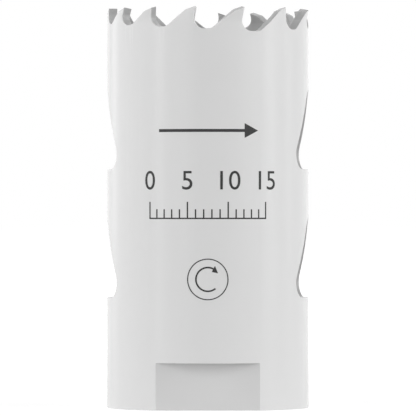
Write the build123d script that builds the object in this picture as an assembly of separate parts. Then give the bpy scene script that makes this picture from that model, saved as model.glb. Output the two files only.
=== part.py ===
from build123d import *
import os
from math import acos, atan2, cos, degrees, hypot, pi, radians, sin, tan

# Hole saw, in millimetres. A steel strip is punched, rolled into a tube and butt welded, a turned
# back plate is pressed in and welded, and a hard tip is welded on each tooth of the rim.
# Origin: middle of the base. +Z runs up the axis to the teeth, -Y is the front wrench flat.
# Azimuths are in degrees round +Z from +X, so the front is at -90.

# Tube
body_diameter = 25.0
wall = 1.1
overall_height = 49.4

# Wrench flats on the base
across_flats = 21.5
flat_height = 5.8
flat_azimuths = [-90.0, 90.0]

# Back plate, and its hole for the arbor's thread (1/2 inch, 20 threads to the inch)
plate_thickness = 7.0
plate_top_chamfer = 0.5
thread_hole_diameter = 11.5
thread_mouth_chamfer = 0.7

# Chip slots, one over the other on two sides of the tube. Lengths are on the unrolled strip.
slot_azimuths = [-2.6, 179.0]
first_ledge = 13.7
ledge_spacing = 15.85
slots_in_column = 2
slot_height = 9.85
slot_width = 11.66
slot_corner_radius = 1.85
slot_top_radius = 2.7

# Teeth, counterclockwise from the one beside the strip's weld, with their tips pointing that way.
# Both the pitch and the gullets vary, so that the saw doesn't chatter. The pitches are arcs of the
# outer surface and are fitted to the circle. Each is the step to the next tooth.
first_tip_azimuth = -168.6
pitches = [4.73, 5.27, 5.62, 6.06, 6.68, 5.93, 5.98, 4.82, 5.15, 4.80, 4.85, 5.22, 5.49, 7.94]
gullet_depths = [1.92, 2.20, 2.48, 2.76, 3.05, 2.70, 2.40, 2.10, 2.20, 1.95, 2.00, 2.40, 2.30, 2.60]
rake_angle = 8.5
relief_angle = 18.0
relief_length = 1.2
back_angle = 39.2
rake_side_radius = 1.3
back_side_radius = 1.2

# Hard tips, set by turns inward and outward, the first one straight
tip_height = 1.4
set_angle = 9.6

# How far cutting shapes run past what they cut
overrun = 1.0

body_radius = body_diameter / 2
inner_radius = body_radius - wall
weld_line = overall_height - tip_height


def unrolled_angle(arc):
    """Angle round the axis, in degrees, of a length on the unrolled strip."""
    return degrees(arc / body_radius)


def tangent_plane(azimuth, distance):
    """Upright plane square to a radius: its x runs counterclockwise and its y runs up."""
    outward = Vector(cos(radians(azimuth)), sin(radians(azimuth)), 0)
    sideways = Vector(-outward.Y, outward.X, 0)
    return Plane(origin=outward * distance, x_dir=sideways, z_dir=outward)


def beyond(start, through, arc):
    """Point at an arc on the line from start through a second point, straight once carried flat."""
    places = [tan(a / body_radius) for a in (start[0], through[0], arc)]
    slope = (through[1] - start[1]) / (places[1] - places[0])
    return (arc, through[1] + slope * (places[2] - places[1]))


def flat_outline(stretches, distance):
    """Face of an unrolled outline, carried along radii onto a plane at a distance from the axis.

    A stretch of two points is a line, and one of three points is an arc."""
    edges = []
    for stretch in stretches:
        points = [(distance * tan(arc / body_radius), height) for arc, height in stretch]
        if len(points) == 2:
            edges.append(Line(*points))
        else:
            edges.append(ThreePointArc(*points))
    return make_face(edges)


def radial_cutter(outline, azimuth):
    """Solid whose sides are radial, as on a strip that was punched flat and then rolled.

    outline(distance) gives the unrolled outline at a distance from the axis."""
    near = inner_radius - wall - overrun
    far = body_radius + overrun
    sections = [tangent_plane(azimuth, d) * flat_outline(outline(d), d) for d in (near, far)]
    return loft(sections, ruled=True)


def arc_points(centre, radius, start, end):
    """First, middle and last point of an arc between two angles in degrees."""
    angles = [radians(a) for a in (start, (start + end) / 2, end)]
    return [(centre[0] + radius * cos(a), centre[1] + radius * sin(a)) for a in angles]


def mirrored(stretch):
    """A stretch on the other side of the middle line, run the other way."""
    return [(-arc, height) for arc, height in reversed(stretch)]


def slot_outline(ledge):
    """Chip slot: a rounded triangle, standing on a straight ledge."""
    corner = (slot_width / 2 - slot_corner_radius, ledge + slot_corner_radius)
    top = (0.0, ledge + slot_height - slot_top_radius)
    rise = hypot(top[0] - corner[0], top[1] - corner[1])
    heading = degrees(atan2(top[1] - corner[1], top[0] - corner[0]))
    flank = heading - degrees(acos((slot_corner_radius - slot_top_radius) / rise))
    round_corner = arc_points(corner, slot_corner_radius, -90, flank)
    round_top = arc_points(top, slot_top_radius, flank, 180 - flank)
    side = [round_corner[-1], round_top[0]]
    bottom = [(-corner[0], ledge), (corner[0], ledge)]
    return [bottom, round_corner, side, round_top, mirrored(side), mirrored(round_corner)]


def fitted_pitch(number):
    """Arc from a tooth's tip to the next, fitted so that all of them close the circle."""
    return 2 * pi * body_radius * pitches[number] / sum(pitches)


def tip_azimuth(number):
    """Azimuth of a tooth's tip."""
    return first_tip_azimuth + sum(unrolled_angle(fitted_pitch(k)) for k in range(number))


def tip_set(number):
    """Way a tooth is set: 0 straight, 1 outward, -1 inward."""
    if number == 0:
        return 0
    return 1 if number % 2 == 0 else -1


def edge_height(number, arc, distance):
    """Height of a tooth's cutting edge, which tilts with the set. Its high corner is full height.

    arc runs to the edge from the middle of the outline that it is part of."""
    radius = distance / cos(arc / body_radius)
    lean = tip_set(number) * tan(radians(set_angle))
    high_corner = inner_radius if lean > 0 else body_radius
    return overall_height - lean * (radius - high_corner - lean * tip_height)


def gullet_outline(number, distance):
    """Gullet after a tooth: rake face, round foot, floor, rising back and relief of the next tooth.

    Its arcs are counted from the middle between the two tips."""
    following = (number + 1) % len(pitches)
    half = fitted_pitch(number) / 2
    floor = overall_height - gullet_depths[number]
    tip = (-half, edge_height(number, -half, distance))
    next_tip = (half, edge_height(following, half, distance))
    kink_arc = half - relief_length
    relief_drop = relief_length * tan(radians(relief_angle))
    kink = (kink_arc, edge_height(following, kink_arc, distance) - relief_drop)
    foot = tip[0] - (tip[1] - floor) * tan(radians(rake_angle))
    heel = kink[0] - (kink[1] - floor) / tan(radians(back_angle))
    foot_reach = rake_side_radius / tan(radians((90 - rake_angle) / 2))
    heel_reach = back_side_radius * tan(radians(back_angle / 2))
    fitted = min(1.0, 0.98 * (heel - foot) / (foot_reach + heel_reach))
    foot_radius = fitted * rake_side_radius
    heel_radius = fitted * back_side_radius
    foot_centre = (foot + fitted * foot_reach, floor + foot_radius)
    heel_centre = (heel - fitted * heel_reach, floor + heel_radius)
    foot_arc = arc_points(foot_centre, foot_radius, 180 - rake_angle, 270)
    heel_arc = arc_points(heel_centre, heel_radius, 270, 270 + back_angle)
    relief_end = beyond(kink, next_tip, half + overrun)
    above = max(tip[1], relief_end[1]) + overrun
    relief_top = (relief_end[0], above)
    rake_top = (tip[0] + (above - tip[1]) * tan(radians(rake_angle)), above)
    return [
        [rake_top, foot_arc[0]],
        foot_arc,
        [foot_arc[-1], heel_arc[0]],
        heel_arc,
        [heel_arc[-1], kink],
        [kink, relief_end],
        [relief_end, relief_top],
        [relief_top, rake_top],
    ]


def make_slots():
    """Cutters of all the chip slots."""
    cutters = []
    for azimuth in slot_azimuths:
        for row in range(slots_in_column):
            outline = slot_outline(first_ledge + row * ledge_spacing)
            cutters.append(radial_cutter(lambda distance: outline, azimuth))
    return cutters


def make_gullets():
    """Cutters of all the gullets, one after each tooth."""
    cutters = []
    for number in range(len(pitches)):
        middle = tip_azimuth(number) + unrolled_angle(fitted_pitch(number) / 2)
        cutters.append(radial_cutter(lambda distance: gullet_outline(number, distance), middle))
    return cutters


def make_flats():
    """Cutters of the wrench flats."""
    depth = wall + body_radius
    block = Box(depth, body_diameter, flat_height + overrun, align=(Align.MIN, Align.CENTER, Align.MIN))
    placed = Pos(across_flats / 2, 0, -overrun) * block
    return [Rot(0, 0, azimuth) * placed for azimuth in flat_azimuths]


def make_saw_body(gullets):
    """Tube up to the tips' weld line, with its chip slots, gullets and wrench flats."""
    ring = Circle(body_radius) - Circle(inner_radius)
    tube = extrude(ring, weld_line)
    return tube - make_slots() - gullets - make_flats()


def make_back_plate():
    """Turned plate that fills the tube's base, with a chamfered hole for the arbor's thread."""
    hole = thread_hole_diameter / 2
    mouth = hole + thread_mouth_chamfer
    section = Polyline(
        (mouth, 0),
        (inner_radius, 0),
        (inner_radius, plate_thickness - plate_top_chamfer),
        (inner_radius - plate_top_chamfer, plate_thickness),
        (mouth, plate_thickness),
        (hole, plate_thickness - thread_mouth_chamfer),
        (hole, thread_mouth_chamfer),
        close=True,
    )
    turned = revolve(Plane.XZ * make_face(section), Axis.Z)
    return turned - make_flats()


def make_tip(number, gullets):
    """Hard tip of one tooth: a stretch of wall that leans with its set, cut by the gullets beside it."""
    split = unrolled_angle(rake_side_radius)
    start = tip_azimuth(number - 1) + split
    if number == 0:
        start = tip_azimuth(len(pitches) - 1) - 360 + split
    end = tip_azimuth(number) + split
    rise = tip_height + overrun / 2
    shift = tip_set(number) * rise * tan(radians(set_angle))
    section = Polyline(
        (inner_radius, weld_line),
        (body_radius, weld_line),
        (body_radius + shift, weld_line + rise),
        (inner_radius + shift, weld_line + rise),
        close=True,
    )
    blank = revolve(Plane.XZ * make_face(section), Axis.Z, end - start)
    turned = Rot(0, 0, start) * blank
    return turned - gullets[number - 1] - gullets[number]


def main():
    os.makedirs("parts", exist_ok=True)
    gullets = make_gullets()
    export_step(make_saw_body(gullets), "parts/saw_body.step")
    export_step(make_back_plate(), "parts/back_plate.step")
    for number in range(len(pitches)):
        export_step(make_tip(number, gullets), f"parts/tooth_tip_{number + 1:02d}.step")


main()
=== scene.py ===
from math import acos, atan2, cos, degrees, hypot, pi, radians, sin, tan

import bmesh
import bpy
from mathutils import Matrix


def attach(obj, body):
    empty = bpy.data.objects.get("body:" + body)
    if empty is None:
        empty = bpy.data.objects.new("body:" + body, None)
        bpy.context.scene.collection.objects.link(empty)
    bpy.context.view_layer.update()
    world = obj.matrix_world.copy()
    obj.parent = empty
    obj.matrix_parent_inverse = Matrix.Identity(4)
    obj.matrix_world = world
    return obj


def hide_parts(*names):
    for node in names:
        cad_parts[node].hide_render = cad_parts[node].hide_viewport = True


# Shapes are drawn in millimetres and made metres when a piece is placed.
mm = 0.001

# How near counts as touching, in millimetres, from the finest to the coarsest
speck = 1e-6
hair = 1e-5
touch = 1e-4
snap = 1e-3

# Digits after the point by which points are told apart
kept_digits = 4

# Faces that turn by less than this, in degrees, count as one level face
outline_level = 0.3
rolled_level = 0.2

# Edges shade smooth up to the first of these angles, and the flats' edges are broken from the second on
smooth_angle = 40
crisp_angle = 20

# Tube
body_radius = 12.5
wall = 1.1
inner_radius = body_radius - wall
circumference = 2 * pi * body_radius
overall_height = 49.4
weld_line = 48.0

# Broken edges of the punched strip, and the number of stretches in which it is rolled
edge_round = 0.07
edge_steps = 2
strip_steps = 240

# Where the mesh of the rolled strip is closed, in degrees round +Z from +X. The strip's own weld doesn't
# show under the coating, so nothing marks it.
seam_azimuth = 94.0

# Wrench flats, and how wide their edges are broken on the strip and on the plate
flat_distance = 10.75
flat_height = 5.8
strip_flat_edge = 0.08
plate_flat_edge = 0.05

# Back plate. The thread's crest is its least radius, that of the hole before it is cut, and the root its
# greatest.
plate_thickness = 7.0
plate_foot_round = 0.06
plate_top_chamfer = 0.5
blank_hole = 4.0
thread_pitch = 1.27
thread_crest = 5.75
thread_root = 6.35
thread_flank = 30
mouth_chamfer = 0.7

# Tap that cuts the thread, and the cones that open its mouths
tap_start = -3.0
tap_turns = 10
tap_steps = 72
tap_overrun = 0.8
cone_depth = 3
cone_overrun = 1

# Chip slots
slot_azimuths = (-2.6, 179.0)
slot_ledges = (13.7, 29.55)
slot_width = 11.66
slot_height = 9.85
slot_corner = 1.85
slot_top = 2.7
slot_steps = 14

# Teeth, counterclockwise from the one after the widest gap. Pitches are arcs of the outer surface.
first_tip_azimuth = -168.6
pitches = (4.73, 5.27, 5.62, 6.06, 6.68, 5.93, 5.98, 4.82, 5.15, 4.80, 4.85, 5.22, 5.49, 7.94)
gullet_depths = (1.92, 2.20, 2.48, 2.76, 3.05, 2.70, 2.40, 2.10, 2.20, 1.95, 2.00, 2.40, 2.30, 2.60)
teeth = len(pitches)
rake = tan(radians(8.5))
relief = tan(radians(18.0))
relief_length = 1.2
back_angle = 39.2
foot_round = 1.3
foot_steps = 8
heel_round = 1.2
heel_steps = 6

# Most of a gullet's floor that its foot and heel may take. Where they need more, both get smaller.
widest_fit = 0.98

# Set of the teeth, which starts where they bend. Their tops tilt sooner than their walls bend.
tooth_lean = tan(radians(9.6))
bend_start = 47.3
bend_cuts = 6
bend_step = 0.35
tilt_lead = 1.5

# How far outlines and cutting blocks run past what they cut, and the blocks' length and depth
overrun = 2
block_length = 30
block_depth = 6

# Printed marks on the front of the tube. Widths go round the tube, and heights are above the base.
front_azimuth = -90.0
ink_thickness = 0.016
ink_rise = 0.014
ink_step = 0.35
arrow_height = 34.2
number_height = 28.0
number_size = 3.3
scale_height = 23.4
scale_length = 15
tall_every = 5
ring_height = 16.05
ring_steps = 59
arrow_steps = 40
head_reach = 1.9
digit_steps = 5

# Coating: tone and roughness from its thinnest to its fullest patches, and its fine orange peel
coat_tone = (0.72, 0.74)
coat_roughness = (0.22, 0.28)
coat_patches = 260.0
peel_grain = 5200.0
peel_depth = 0.00001
sheen = 0.3

# Where the painted shade on cut faces gives way to the coating's full tone, as a face turns away from the
# axis
painted_shade_turn = (0.25, 0.75)

# Painted shade on the milled flats: their tone beside the tube's, where a face looks to the front or rear,
# and the short height over which it ends
flat_painted_shade = 0.9
flat_shade_turn = (0.9, 0.97)
flat_shade_fade = 0.05

# Ink
ink_tone = (0.022, 0.036)
ink_grain = 3000.0
ink_roughness = 0.6

# Table and world. The first of a pair is the level next to the saw and the second is further off, at
# distances in metres.
table_reach = 6
table_paper = 0.45
table_white = (0.8, 1.0)
table_white_distances = (0.1, 0.3)
# Painted light: for all but camera and glossy rays the table glows, most next to the saw, which lights the
# saw from below and fills the shade at its foot
table_glow = (0.4, 0.28)
table_glow_distances = (0.015, 0.09)
room_level = 0.0

# Lamps, which stand on the table. Distance and height are in metres.
lamp_distance = 1.8
lamp_height = 1.5

# Azimuth of each lamp, which is 0 behind the camera and 90 on its right, its width in degrees, and its level
lamp_ring = (
    (-171, 18, 0.3), (-153, 18, 0.25), (-135, 18, 0.15), (-117, 18, 0.95), (-99, 18, 1.5), (-81, 18, 1.8),
    (-63, 18, 1.25), (-45, 18, 1.75), (-27, 18, 2.3), (27, 18, 0.5), (45, 18, 2.15), (63, 18, 2.35),
    (81, 18, 2.25), (99, 18, 1.2), (117, 18, 0.3), (135, 18, 0.25), (153, 18, 0.3), (171, 18, 0.3),
    (-133, 12, 1.8), (-57, 12, 3.6), (75, 12, 3.2), (107, 10, 1.4),
)

# Camera. Its distance and height are in millimetres, and its shift is in pixels of the picture.
camera_distance = 668
camera_height = 24.75
camera_shift = 0.2
picture_width = 416
lens_length = 465.8
sensor_width = 36.0


# Outlines of the punched strip. Their x is the length round the tube's outer surface.


def turn(centre, radius, start, end, steps):
    """Points of an arc between two angles in degrees."""
    angles = [radians(start + (end - start) * k / steps) for k in range(steps + 1)]
    return [(centre[0] + radius * cos(a), centre[1] + radius * sin(a)) for a in angles]


def strip_place(azimuth):
    """Length along the strip at which an azimuth lies."""
    return radians((azimuth - seam_azimuth) % 360) * body_radius


def tooth_pitch(number):
    """Arc from a tooth's tip to the next one's."""
    return circumference * pitches[number] / sum(pitches)


def tip_places():
    """Length along the strip of each tooth's tip."""
    steps = [sum(tooth_pitch(k) for k in range(number)) for number in range(teeth)]
    return [(strip_place(first_tip_azimuth) + step) % circumference for step in steps]


def gullet_points(tip, number):
    """Outline from a tooth's tip down its rake face and up the back of the next tooth to that tip."""
    next_tip = tip + tooth_pitch(number)
    floor = overall_height - gullet_depths[number]
    kink = (next_tip - relief_length, overall_height - relief_length * relief)
    foot = tip - gullet_depths[number] * rake
    heel = kink[0] - (kink[1] - floor) / tan(radians(back_angle))
    foot_reach = foot_round / tan(radians(45) - atan2(rake, 1) / 2)
    heel_reach = heel_round * tan(radians(back_angle / 2))
    fitted = min(1.0, widest_fit * (heel - foot) / (foot_reach + heel_reach))
    foot_centre = (foot + fitted * foot_reach, floor + fitted * foot_round)
    heel_centre = (heel - fitted * heel_reach, floor + fitted * heel_round)
    points = turn(foot_centre, fitted * foot_round, 180 - degrees(atan2(rake, 1)), 270, foot_steps)
    points += turn(heel_centre, fitted * heel_round, 270, 270 + back_angle, heel_steps)
    return points + [kink, (next_tip, overall_height)]


def strip_outline():
    """Outline of the strip, run a little past both of its ends."""
    tips = tip_places()
    number = max(range(teeth), key=lambda n: tips[n])
    tip = tips[number] - circumference
    rim = [(tip - overrun, overall_height), (tip, overall_height)]
    while tip < circumference:
        rim += gullet_points(tip, number)
        tip = rim[-1][0]
        number = (number + 1) % teeth
    rim.append((tip + overrun, overall_height))
    return [(rim[0][0], 0), (rim[-1][0], 0)] + rim[::-1]


def slot_outline(middle, ledge):
    """Chip slot: a rounded triangle, standing on a straight ledge."""
    corner = (slot_width / 2 - slot_corner, ledge + slot_corner)
    top = (0, ledge + slot_height - slot_top)
    rise = hypot(top[0] - corner[0], top[1] - corner[1])
    heading = degrees(atan2(top[1] - corner[1], top[0] - corner[0]))
    flank = heading - degrees(acos((slot_corner - slot_top) / rise))
    right = turn(corner, slot_corner, -90, flank, slot_steps)
    over = turn(top, slot_top, flank, 180 - flank, slot_steps)
    left = [(-x, y) for x, y in reversed(right)]
    return [(middle + x, y) for x, y in right + over + left]


# Flat sheets, and how they are rolled


def everything(bm):
    return bm.verts[:] + bm.edges[:] + bm.faces[:]


def merge_level(bm, angle):
    """Joins neighbouring faces that turn by less than an angle in degrees."""
    bmesh.ops.dissolve_limit(bm, angle_limit=radians(angle), verts=bm.verts, edges=bm.edges)


def close_holes(bm):
    """Fills what lies open and gives the new faces."""
    return bmesh.ops.holes_fill(bm, edges=[edge for edge in bm.edges if edge.is_boundary], sides=0)["faces"]


def mesh_of_curve(curve):
    """Bmesh of a curve or text, with its seams closed. The curve is used up."""
    holder = bpy.data.objects.new("outline", curve)
    bpy.context.scene.collection.objects.link(holder)
    shaped = holder.evaluated_get(bpy.context.evaluated_depsgraph_get())
    mesh = bpy.data.meshes.new_from_object(shaped)
    bm = bmesh.new()
    bm.from_mesh(mesh)
    bpy.data.objects.remove(holder)
    bpy.data.meshes.remove(mesh)
    bmesh.ops.remove_doubles(bm, verts=bm.verts, dist=touch)
    bmesh.ops.recalc_face_normals(bm, faces=bm.faces)
    return bm


def flat_plate(outlines, thickness, rounding=0):
    """Mesh of a flat plate with these outlines, the first one its rim and the others its holes."""
    curve = bpy.data.curves.new("outline", "CURVE")
    curve.dimensions = "2D"
    curve.fill_mode = "BOTH"
    for outline in outlines:
        spline = curve.splines.new("POLY")
        spline.points.add(len(outline) - 1)
        for point, (x, y) in zip(spline.points, outline):
            point.co = (x, y, 0, 1)
        spline.use_cyclic_u = True
    curve.extrude = thickness / 2 - rounding
    curve.bevel_depth = rounding
    curve.bevel_resolution = edge_steps
    curve.offset = -rounding
    bm = mesh_of_curve(curve)
    merge_level(bm, outline_level)
    return bm


def slice_upright(bm, first, last, count):
    """Cuts a flat plate across at even steps, so that it can be rolled."""
    for k in range(1, count):
        x = first + (last - first) * k / count
        crossed = set()
        for face in bm.faces:
            across = [vert.co.x for vert in face.verts]
            if min(across) < x - hair and max(across) > x + hair:
                crossed.update([face], face.edges, face.verts)
        bmesh.ops.bisect_plane(bm, geom=list(crossed), plane_co=(x, 0, 0), plane_no=(1, 0, 0), dist=hair)


def match_ends(bm):
    """Gives both open ends of a rolled plate the same points, so that they close."""
    heights = {round(vert.co.z, kept_digits) for vert in bm.verts if vert.is_boundary}
    for height in heights:
        ends = {face for edge in bm.edges if edge.is_boundary for face in edge.link_faces}
        parts = set(ends)
        for face in ends:
            parts.update(face.edges, face.verts)
        bmesh.ops.bisect_plane(
            bm, geom=list(parts), plane_co=(0, 0, height), plane_no=(0, 0, 1), dist=snap
        )


def carry_round(bm, middle_radius, start_azimuth):
    """Bends a flat sheet round the axis, its x along the tube's outer surface and its z outward."""
    for vert in bm.verts:
        radius = middle_radius + vert.co.z
        angle = radians(start_azimuth) + vert.co.x / body_radius
        vert.co = (radius * cos(angle), radius * sin(angle), vert.co.y)


def roll(bm, middle_radius, start_azimuth):
    """Rolls a flat plate into a tube and closes it."""
    carry_round(bm, middle_radius, start_azimuth)
    merge_level(bm, rolled_level)
    match_ends(bm)
    bmesh.ops.remove_doubles(bm, verts=bm.verts, dist=snap)


def set_teeth(bm):
    """Bends the teeth by turns inward and outward, all but the first."""
    tips = tip_places()
    for vert in bm.verts:
        if vert.co.y <= bend_start:
            continue
        ahead = [(tip + foot_round - vert.co.x) % circumference for tip in tips]
        number = min(range(teeth), key=lambda n: ahead[n])
        if number == 0:
            continue
        way = 1 if number % 2 == 0 else -1
        rise = min(1.0, (vert.co.y - bend_start) / (overall_height - bend_start))
        drop = tooth_lean * (wall / 2 + way * vert.co.z) * min(1.0, rise * tilt_lead)
        vert.co.y -= drop
        vert.co.z += way * tooth_lean * (overall_height - weld_line) * rise**2


def make_strip():
    """The punched and rolled strip, teeth and all, as one closed bmesh."""
    slots = [slot_outline(strip_place(a), ledge) for a in slot_azimuths for ledge in slot_ledges]
    bm = flat_plate([strip_outline()] + slots, wall, edge_round)
    for x, way in ((0, -1), (circumference, 1)):
        bmesh.ops.bisect_plane(
            bm, geom=everything(bm), plane_co=(x, 0, 0), plane_no=(way, 0, 0), clear_outer=True, dist=speck
        )
    slice_upright(bm, 0, circumference, strip_steps)
    for k in range(bend_cuts):
        height = bend_start + bend_step * k
        bmesh.ops.bisect_plane(
            bm, geom=everything(bm), plane_co=(0, height, 0), plane_no=(0, 1, 0), dist=hair
        )
    set_teeth(bm)
    roll(bm, body_radius - wall / 2, seam_azimuth)
    bmesh.ops.bisect_plane(
        bm, geom=everything(bm), plane_co=(0, 0, weld_line), plane_no=(0, 0, 1), dist=touch
    )
    return bm


# Cutting, and the finished pieces


def piece_object(name, bm):
    """Object of a bmesh, which is used up."""
    mesh = bpy.data.meshes.new(name)
    bm.to_mesh(mesh)
    bm.free()
    made = bpy.data.objects.new(name, mesh)
    bpy.context.scene.collection.objects.link(made)
    return made


def cut_away(bm, cutters):
    """The bmesh less the closed cutters."""
    bmesh.ops.triangulate(bm, faces=bm.faces)
    stock = piece_object("stock", bm)
    tools = [piece_object("cutter", cutter) for cutter in cutters]
    for tool in tools:
        cut = stock.modifiers.new("cut", "BOOLEAN")
        cut.operation = "DIFFERENCE"
        cut.solver = "EXACT"
        cut.object = tool
    bpy.context.view_layer.update()
    shaped = stock.evaluated_get(bpy.context.evaluated_depsgraph_get())
    mesh = bpy.data.meshes.new_from_object(shaped)
    left = bmesh.new()
    left.from_mesh(mesh)
    bpy.data.meshes.remove(mesh)
    for used in [stock] + tools:
        used_mesh = used.data
        bpy.data.objects.remove(used)
        bpy.data.meshes.remove(used_mesh)
    bmesh.ops.remove_doubles(left, verts=left.verts, dist=touch)
    merge_level(left, rolled_level)
    return left


def place_piece(name, bm, material, stands_for=()):
    """Finished piece of the saw, in metres, with its edges shaded smooth up to an angle."""
    bmesh.ops.scale(bm, vec=(mm, mm, mm), verts=bm.verts)
    for face in bm.faces:
        face.smooth = True
    piece = piece_object(name, bm)
    piece.data.materials.append(material)
    piece.data.set_sharp_from_angle(angle=radians(smooth_angle))
    even = piece.modifiers.new("even_shading", "WEIGHTED_NORMAL")
    even.keep_sharp = True
    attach(piece, "root")
    if stands_for:
        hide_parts(*stands_for)


def flat_cutters():
    """Blocks that cut the two wrench flats."""
    blocks = []
    for side in (-1, 1):
        block = bmesh.new()
        bmesh.ops.create_cube(block, size=1)
        bmesh.ops.scale(block, vec=(block_length, block_depth, flat_height + overrun), verts=block.verts)
        place = (0, side * (flat_distance + block_depth / 2), (flat_height - overrun) / 2)
        bmesh.ops.translate(block, vec=place, verts=block.verts)
        blocks.append(block)
    return blocks


def soften_flats(bm, width):
    """Breaks the edges that the wrench flats leave."""

    def on_cut(vert):
        at_face = abs(abs(vert.co.y) - flat_distance) < snap and vert.co.z < flat_height + snap
        at_ledge = abs(vert.co.z - flat_height) < snap and abs(vert.co.y) > flat_distance - snap
        return at_face or at_ledge

    def is_crisp(edge):
        turns_out = edge.is_manifold and edge.is_convex and edge.calc_face_angle() > radians(crisp_angle)
        return turns_out and all(map(on_cut, edge.verts))

    bm.normal_update()
    bmesh.ops.bevel(
        bm,
        geom=[edge for edge in bm.edges if is_crisp(edge)],
        offset=width,
        affect="EDGES",
        segments=2,
        profile=0.5,
        material=-1,
        clamp_overlap=True,
    )


def take_island(left):
    """One connected group of faces, taken out of the set of those that are left."""
    island, front = set(), [left.pop()]
    while front:
        face = front.pop()
        island.add(face)
        near = {other for edge in face.edges for other in edge.link_faces} & left
        left -= near
        front += near
    return island


def nearest_tooth(island):
    """Number of the tooth whose tip lies nearest to a group of faces."""
    top = max((vert for face in island for vert in face.verts), key=lambda vert: vert.co.z)
    along = strip_place(degrees(atan2(top.co.y, top.co.x)))
    places = tip_places()

    def distance(number):
        return min((places[number] - along) % circumference, (along - places[number]) % circumference)

    return min(range(teeth), key=distance)


def split_at_weld(strip):
    """The strip below the weld line, and the tips above it as a dict from tooth to bmesh."""
    tips = strip.copy()
    for bm, below in ((strip, True), (tips, False)):
        gone = [face for face in bm.faces if (face.calc_center_median().z > weld_line) == below]
        bmesh.ops.delete(bm, geom=gone, context="FACES")
        lids = close_holes(bm)
        if not below:
            bmesh.ops.poke(bm, faces=lids)
        bmesh.ops.recalc_face_normals(bm, faces=bm.faces)
    found = {}
    left = set(tips.faces)
    while left:
        island = take_island(left)
        only = tips.copy()
        only.faces.ensure_lookup_table()
        kept = {face.index for face in island}
        others = [face for face in only.faces if face.index not in kept]
        bmesh.ops.delete(only, geom=others, context="FACES")
        found[nearest_tooth(island)] = only
    tips.free()
    return strip, found


def in_fixed_order(bm):
    """Puts points and faces in one order, because spin leaves them in another on each run."""
    for points, place in (
        (bm.verts, lambda vert: vert.co),
        (bm.edges, lambda edge: (edge.verts[0].co + edge.verts[1].co) / 2),
        (bm.faces, lambda face: face.calc_center_median()),
    ):
        ranked = sorted(points, key=lambda part: tuple(round(c, kept_digits) for c in place(part)))
        ranks = {part: rank for rank, part in enumerate(ranked)}
        points.sort(key=ranks.get)
        points.index_update()
    return bm


def make_tap():
    """Closed right-hand screw that cuts the arbor's thread."""
    bm = bmesh.new()
    flank = (thread_root - thread_crest) * tan(radians(thread_flank))
    crest = thread_pitch / 4
    root = thread_pitch - crest - 2 * flank
    heights = [(thread_crest, 0), (thread_crest, crest), (thread_root, crest + flank)]
    heights += [(thread_root, crest + flank + root), (thread_crest, thread_pitch)]
    verts = [bm.verts.new((radius, 0, height + tap_start)) for radius, height in heights]
    edges = [bm.edges.new(pair) for pair in zip(verts, verts[1:])]
    bmesh.ops.spin(
        bm,
        geom=verts + edges,
        cent=(0, 0, 0),
        axis=(0, 0, 1),
        dvec=(0, 0, thread_pitch / tap_steps),
        angle=2 * pi * tap_turns,
        steps=tap_steps * tap_turns,
        use_merge=False,
    )
    bmesh.ops.remove_doubles(bm, verts=bm.verts, dist=touch)
    for height, way in ((-tap_overrun, -1), (plate_thickness + tap_overrun, 1)):
        bmesh.ops.bisect_plane(
            bm,
            geom=everything(bm),
            plane_co=(0, 0, height),
            plane_no=(0, 0, way),
            clear_outer=True,
            dist=speck,
        )
    close_holes(bm)
    bmesh.ops.recalc_face_normals(bm, faces=bm.faces)
    return in_fixed_order(bm)


def turned(section):
    """Closed ring turned from a section, a closed run of (radius, height)."""
    bm = bmesh.new()
    verts = [bm.verts.new((radius, 0, height)) for radius, height in section]
    edges = [bm.edges.new(pair) for pair in zip(verts, verts[1:] + verts[:1])]
    bmesh.ops.spin(
        bm,
        geom=verts + edges,
        cent=(0, 0, 0),
        axis=(0, 0, 1),
        angle=2 * pi,
        steps=strip_steps,
        use_merge=True,
    )
    bmesh.ops.remove_doubles(bm, verts=bm.verts, dist=touch)
    bmesh.ops.recalc_face_normals(bm, faces=bm.faces)
    return in_fixed_order(bm)


def mouth_cone(foot, way):
    """Cone that chamfers the hole's mouth at a height, narrowing upward where way is 1."""
    mouth = thread_crest + mouth_chamfer
    cone = bmesh.new()
    bmesh.ops.create_cone(
        cone,
        cap_ends=True,
        segments=strip_steps,
        radius1=mouth + cone_overrun,
        radius2=mouth + cone_overrun - cone_depth,
        depth=cone_depth,
    )
    if way < 0:
        bmesh.ops.rotate(cone, cent=(0, 0, 0), matrix=Matrix.Rotation(pi, 3, "X"), verts=cone.verts)
    middle = foot + way * (cone_depth / 2 - cone_overrun)
    bmesh.ops.translate(cone, vec=(0, 0, middle), verts=cone.verts)
    return cone


def make_back_plate():
    """Turned back plate with its thread, chamfers and wrench flats."""
    top = plate_thickness
    section = [
        (blank_hole, 0.0),
        (inner_radius - plate_foot_round, 0.0),
        (inner_radius, plate_foot_round),
        (inner_radius, top - plate_top_chamfer),
        (inner_radius - plate_top_chamfer, top),
        (blank_hole, top),
    ]
    cones = [mouth_cone(0.0, 1), mouth_cone(top, -1)]
    plate = cut_away(turned(section), [make_tap()] + cones + flat_cutters())
    soften_flats(plate, plate_flat_edge)
    return plate


# Printed marks


def ring_outlines(radius, line):
    """Outer and inner outline of a printed ring."""
    last = 360 - 360 / (ring_steps + 1)
    return [turn((0, 0), radius, 0, last, ring_steps), turn((0, 0), radius - line, 0, last, ring_steps)]


def straight_arrow(length, line, head):
    """Outline of an arrow to the right, its head twice as long as it is wide on one side."""
    neck = length / 2 - 2 * head
    upper = [(-length / 2, line / 2), (neck, line / 2), (neck, head)]
    return upper + [(length / 2, 0)] + [(x, -y) for x, y in reversed(upper)]


def round_arrow(radius, line, start, end, head):
    """Outline of an arrow that runs clockwise round a centre, from one angle down to another."""
    outer = turn((0, 0), radius + line / 2, start, end, arrow_steps)
    inner = turn((0, 0), radius - line / 2, end, start, arrow_steps)
    stop = radians(end)
    wide = [((radius + way * head) * cos(stop), (radius + way * head) * sin(stop)) for way in (1, -1)]
    past = stop - head_reach * head / radius
    tip = (radius * cos(past), radius * sin(past))
    return outer + [wide[0], tip, wide[1]] + inner


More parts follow.
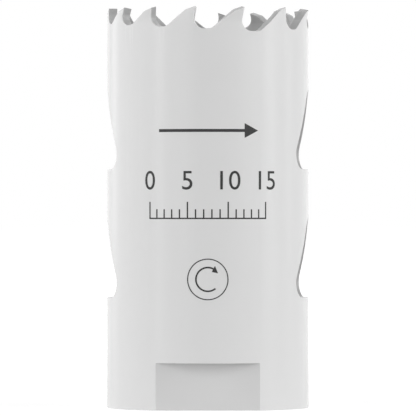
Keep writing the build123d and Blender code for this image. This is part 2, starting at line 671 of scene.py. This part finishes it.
def comb_outline(length, spacing, line, short, tall):
    """Outline of a plain scale: a level line with a tick up at each spacing, every so many of them tall."""
    points = [(-length / 2 - line / 2, 0)]
    for k in range(int(length / spacing + 0.5) + 1):
        x = -length / 2 + k * spacing
        top = tall if k % tall_every == 0 else short
        points += [(x - line / 2, line), (x - line / 2, top), (x + line / 2, top), (x + line / 2, line)]
    return [(points[1][0], 0)] + points[1:] + [(points[-1][0], 0)]


def digits(text, size):
    """Flat sheet of ink in the shape of plain numbers."""
    font = bpy.data.curves.new("digits", "FONT")
    font.body = text
    font.size = size
    font.align_x = "CENTER"
    font.align_y = "CENTER"
    font.resolution_u = digit_steps
    font.extrude = ink_thickness / 2
    return mesh_of_curve(font)


def wrapped(bm, middle):
    """Carries a flat sheet of ink onto the front of the tube, its middle moved to (x, height)."""
    bmesh.ops.translate(bm, vec=(middle[0], middle[1], 0), verts=bm.verts)
    across = [vert.co.x for vert in bm.verts]
    first, last = min(across), max(across)
    slice_upright(bm, first, last, int((last - first) / ink_step) + 1)
    carry_round(bm, body_radius + ink_rise - ink_thickness / 2, front_azimuth)
    return bm


def print_marks(ink):
    """Arrow of the way the saw turns, a plain scale with its numbers, and a ring with an arrow."""
    outlines = {
        "way_arrow": ([straight_arrow(length=12.6, line=0.36, head=0.9)], (0.1, arrow_height)),
        "plain_scale": (
            [comb_outline(scale_length, spacing=1.0, line=0.17, short=1.2, tall=2.1)],
            (0.0, scale_height),
        ),
        "turn_ring": (ring_outlines(radius=2.54, line=0.13), (0.0, ring_height)),
        "turn_arrow": (
            [round_arrow(radius=1.45, line=0.2, start=310, end=62, head=0.42)],
            (0.0, ring_height),
        ),
    }
    sheets = {name: (flat_plate(lines, ink_thickness), middle) for name, (lines, middle) in outlines.items()}
    for mark in range(0, scale_length + 1, tall_every):
        middle = (mark - scale_length / 2, number_height)
        sheets[f"scale_number_{mark:02d}"] = (digits(str(mark), number_size), middle)
    for name, (sheet, middle) in sheets.items():
        place_piece(name, wrapped(sheet, middle), ink)


# Materials


def fill_socket(tree, socket, value):
    """Gives a socket a value, or links it to the socket that holds the value."""
    if isinstance(value, bpy.types.NodeSocket):
        tree.links.new(value, socket)
    else:
        socket.default_value = value


def node(tree, kind, **inputs):
    """New shader node, with values or sockets given to its inputs by name."""
    made = tree.nodes.new(kind)
    for name, value in inputs.items():
        fill_socket(tree, made.inputs[name.replace("_", " ")], value)
    return made


def worked_out(tree, operation, *values, kind="ShaderNodeMath"):
    """Outputs of a new math node that does an operation on values or sockets."""
    made = tree.nodes.new(kind)
    made.operation = operation
    for socket, value in zip(made.inputs, values):
        fill_socket(tree, socket, value)
    return made.outputs


def mapped(tree, value, levels, ends=(0.0, 1.0)):
    """Level that goes from the first to the second of two as a value goes from one end to the other."""
    made = node(
        tree,
        "ShaderNodeMapRange",
        Value=value,
        From_Min=ends[0],
        From_Max=ends[1],
        To_Min=levels[0],
        To_Max=levels[1],
    )
    return made.outputs["Result"]


def new_material(name):
    """Material with an empty node tree, and its output node."""
    material = bpy.data.materials.new(name)
    material.use_nodes = True
    material.node_tree.nodes.clear()
    return material, material.node_tree.nodes.new("ShaderNodeOutputMaterial")


def on_flats(tree, spot):
    """One on the tube and a little less on the wrench flats, which is painted shade."""
    facing = node(tree, "ShaderNodeSeparateXYZ", Vector=spot["Normal"]).outputs["Y"]
    height = node(tree, "ShaderNodeSeparateXYZ", Vector=spot["Object"]).outputs["Z"]
    square = worked_out(tree, "ABSOLUTE", facing)[0]
    level = mapped(tree, square, (1.0, flat_painted_shade), flat_shade_turn)
    return mapped(tree, height, (level, 1.0), (flat_height * mm, (flat_height + flat_shade_fade) * mm))


def facing_out(tree, spot):
    """How squarely a face looks away from the axis, which places the painted shade: 1 outward, 0 on a cut
    and -1 in the cup.
    """
    level = worked_out(tree, "MULTIPLY", spot["Object"], (1, 1, 0), kind="ShaderNodeVectorMath")
    outward = worked_out(tree, "NORMALIZE", level["Vector"], kind="ShaderNodeVectorMath")
    square = worked_out(tree, "DOT_PRODUCT", outward["Vector"], spot["Normal"], kind="ShaderNodeVectorMath")
    return square["Value"]


def satin_coating(name, painted_shade_cut_tone, painted_shade_inner_tone):
    """Pale grey sprayed coating, full on the outside, with painted shade on the punched faces and in the
    cup.
    """
    material, output = new_material(name)
    tree = material.node_tree
    spot = node(tree, "ShaderNodeTexCoord").outputs
    cloud = node(tree, "ShaderNodeTexNoise", Vector=spot["Object"], Scale=coat_patches, Detail=3.0)
    patches = cloud.outputs["Fac"]
    way = facing_out(tree, spot)
    coat = mapped(tree, patches, coat_tone)
    # Painted shade: faces that turn from the outside towards a cut, and faces in the cup, get darker tones
    outer = mapped(tree, way, (painted_shade_cut_tone, coat), painted_shade_turn)
    tone = mapped(tree, way, (painted_shade_inner_tone, outer), (-painted_shade_turn[1], -painted_shade_turn[0]))
    peel = node(tree, "ShaderNodeTexNoise", Vector=spot["Object"], Scale=peel_grain, Detail=2.0)
    bump = node(tree, "ShaderNodeBump", Height=peel.outputs["Fac"], Strength=0.1, Distance=peel_depth)
    shader = node(
        tree,
        "ShaderNodeBsdfPrincipled",
        Base_Color=worked_out(tree, "MULTIPLY", tone, on_flats(tree, spot))[0],
        Roughness=mapped(tree, patches, coat_roughness),
        Normal=bump.outputs["Normal"],
        Specular_IOR_Level=sheen,
    )
    tree.links.new(shader.outputs["BSDF"], output.inputs["Surface"])
    return material


def matt_ink(name):
    """Dark grey printing ink, a little uneven."""
    material, output = new_material(name)
    tree = material.node_tree
    place = node(tree, "ShaderNodeTexCoord").outputs["Object"]
    grain = node(tree, "ShaderNodeTexNoise", Vector=place, Scale=ink_grain, Detail=2.0)
    shader = node(
        tree,
        "ShaderNodeBsdfPrincipled",
        Base_Color=mapped(tree, grain.outputs["Fac"], ink_tone),
        Roughness=ink_roughness,
        Specular_IOR_Level=sheen,
    )
    tree.links.new(shader.outputs["BSDF"], output.inputs["Surface"])
    return material


# Table, world, lamps and camera


def either(tree, first, second):
    """One where either of two light path answers is one."""
    return worked_out(tree, "MAXIMUM", first, second)[0]


def make_floor():
    """White table that glows a little, keeps the saw's shadow and is plain white far off."""
    material, output = new_material("white_table")
    tree = material.node_tree
    paper = node(tree, "ShaderNodeBsdfDiffuse", Color=(table_paper, table_paper, table_paper, 1))
    rays = node(tree, "ShaderNodeLightPath").outputs
    seen = either(tree, rays["Is Camera Ray"], rays["Is Glossy Ray"])
    place = node(tree, "ShaderNodeTexCoord").outputs["Object"]
    away = worked_out(tree, "LENGTH", place, kind="ShaderNodeVectorMath")["Value"]
    # Painted light: the glow that lights the saw, strongest next to it
    glow = mapped(tree, away, table_glow, table_glow_distances)
    bright = mapped(tree, away, table_white, table_white_distances)
    lift = mapped(tree, seen, (glow, bright))
    white = node(tree, "ShaderNodeEmission", Color=(1, 1, 1, 1), Strength=lift)
    both = tree.nodes.new("ShaderNodeAddShader")
    tree.links.new(paper.outputs[0], both.inputs[0])
    tree.links.new(white.outputs[0], both.inputs[1])
    tree.links.new(both.outputs[0], output.inputs["Surface"])
    bm = bmesh.new()
    bmesh.ops.create_grid(bm, x_segments=1, y_segments=1, size=table_reach)
    table = piece_object("table", bm)
    table.data.materials.append(material)


def make_world(ambient):
    """Soft even light all round, which the camera and glossy surfaces see as white."""
    world = bpy.data.worlds.new("studio")
    bpy.context.scene.world = world
    world.use_nodes = True
    tree = world.node_tree
    tree.nodes.clear()
    output = tree.nodes.new("ShaderNodeOutputWorld")
    rays = node(tree, "ShaderNodeLightPath").outputs
    mirrored = either(tree, rays["Is Glossy Ray"], rays["Is Transmission Ray"])
    seen = either(tree, rays["Is Camera Ray"], mirrored)
    soft = node(tree, "ShaderNodeBackground", Color=(1, 1, 1, 1), Strength=ambient)
    white = node(tree, "ShaderNodeBackground", Color=(1, 1, 1, 1), Strength=1.0)
    mix = tree.nodes.new("ShaderNodeMixShader")
    tree.links.new(seen, mix.inputs[0])
    tree.links.new(soft.outputs[0], mix.inputs[1])
    tree.links.new(white.outputs[0], mix.inputs[2])
    tree.links.new(mix.outputs[0], output.inputs["Surface"])


def softbox(name, azimuth, spread, level):
    """Tall lamp that stands on the table and faces the saw, as many degrees wide as its spread."""
    lamp = bpy.data.lights.new(name, "AREA")
    lamp.shape = "RECTANGLE"
    lamp.size = 2 * lamp_distance * tan(radians(spread / 2))
    lamp.size_y = lamp_height
    lamp.energy = level * pi * lamp.size * lamp.size_y
    holder = bpy.data.objects.new(name, lamp)
    bpy.context.scene.collection.objects.link(holder)
    around = radians(azimuth)
    holder.location = (lamp_distance * sin(around), -lamp_distance * cos(around), lamp_height / 2)
    holder.rotation_euler = (radians(90), 0, around)
    holder.visible_camera = False


def make_camera():
    """Level camera, far off, at half the saw's height."""
    lens = bpy.data.cameras.new("camera")
    lens.sensor_width = sensor_width
    lens.lens = lens_length
    lens.shift_x = camera_shift / picture_width
    lens.clip_start = 0.05
    lens.clip_end = 20.0
    camera = bpy.data.objects.new("camera", lens)
    camera.location = (0, -camera_distance * mm, camera_height * mm)
    camera.rotation_euler = (radians(90), 0, 0)
    bpy.context.scene.collection.objects.link(camera)
    bpy.context.scene.camera = camera


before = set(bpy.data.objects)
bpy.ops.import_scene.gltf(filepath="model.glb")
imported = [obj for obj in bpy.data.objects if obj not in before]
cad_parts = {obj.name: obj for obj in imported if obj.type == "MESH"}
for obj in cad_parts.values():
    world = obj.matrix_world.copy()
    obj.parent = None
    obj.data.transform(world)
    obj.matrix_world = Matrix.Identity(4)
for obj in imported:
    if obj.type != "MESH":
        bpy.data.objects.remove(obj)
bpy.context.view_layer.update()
bpy.context.scene.view_settings.view_transform = "Standard"

# The cut and inner tones of these coatings are painted shade
strip_coat_painted_shade = satin_coating("strip_coat_painted_shade", painted_shade_cut_tone=0.53, painted_shade_inner_tone=0.42)
tip_coat_painted_shade = satin_coating("tip_coat_painted_shade", painted_shade_cut_tone=0.48, painted_shade_inner_tone=0.4)
plate_coat_painted_shade = satin_coating("plate_coat_painted_shade", painted_shade_cut_tone=0.7, painted_shade_inner_tone=0.5)
saw_strip, hard_tips = split_at_weld(make_strip())
saw_strip = cut_away(saw_strip, flat_cutters())
soften_flats(saw_strip, strip_flat_edge)
place_piece("rolled_strip", saw_strip, strip_coat_painted_shade, ["saw_body"])
place_piece("threaded_plate", make_back_plate(), plate_coat_painted_shade, ["back_plate"])
for number, tip in sorted(hard_tips.items()):
    tooth = f"{number + 1:02d}"
    place_piece(f"set_tip_{tooth}", tip, tip_coat_painted_shade, [f"tooth_tip_{tooth}"])
print_marks(matt_ink("matt_ink"))

make_floor()
make_world(room_level)
for azimuth, spread, level in lamp_ring:
    softbox(f"lamp_{azimuth:+04d}", azimuth, spread, level)
make_camera()
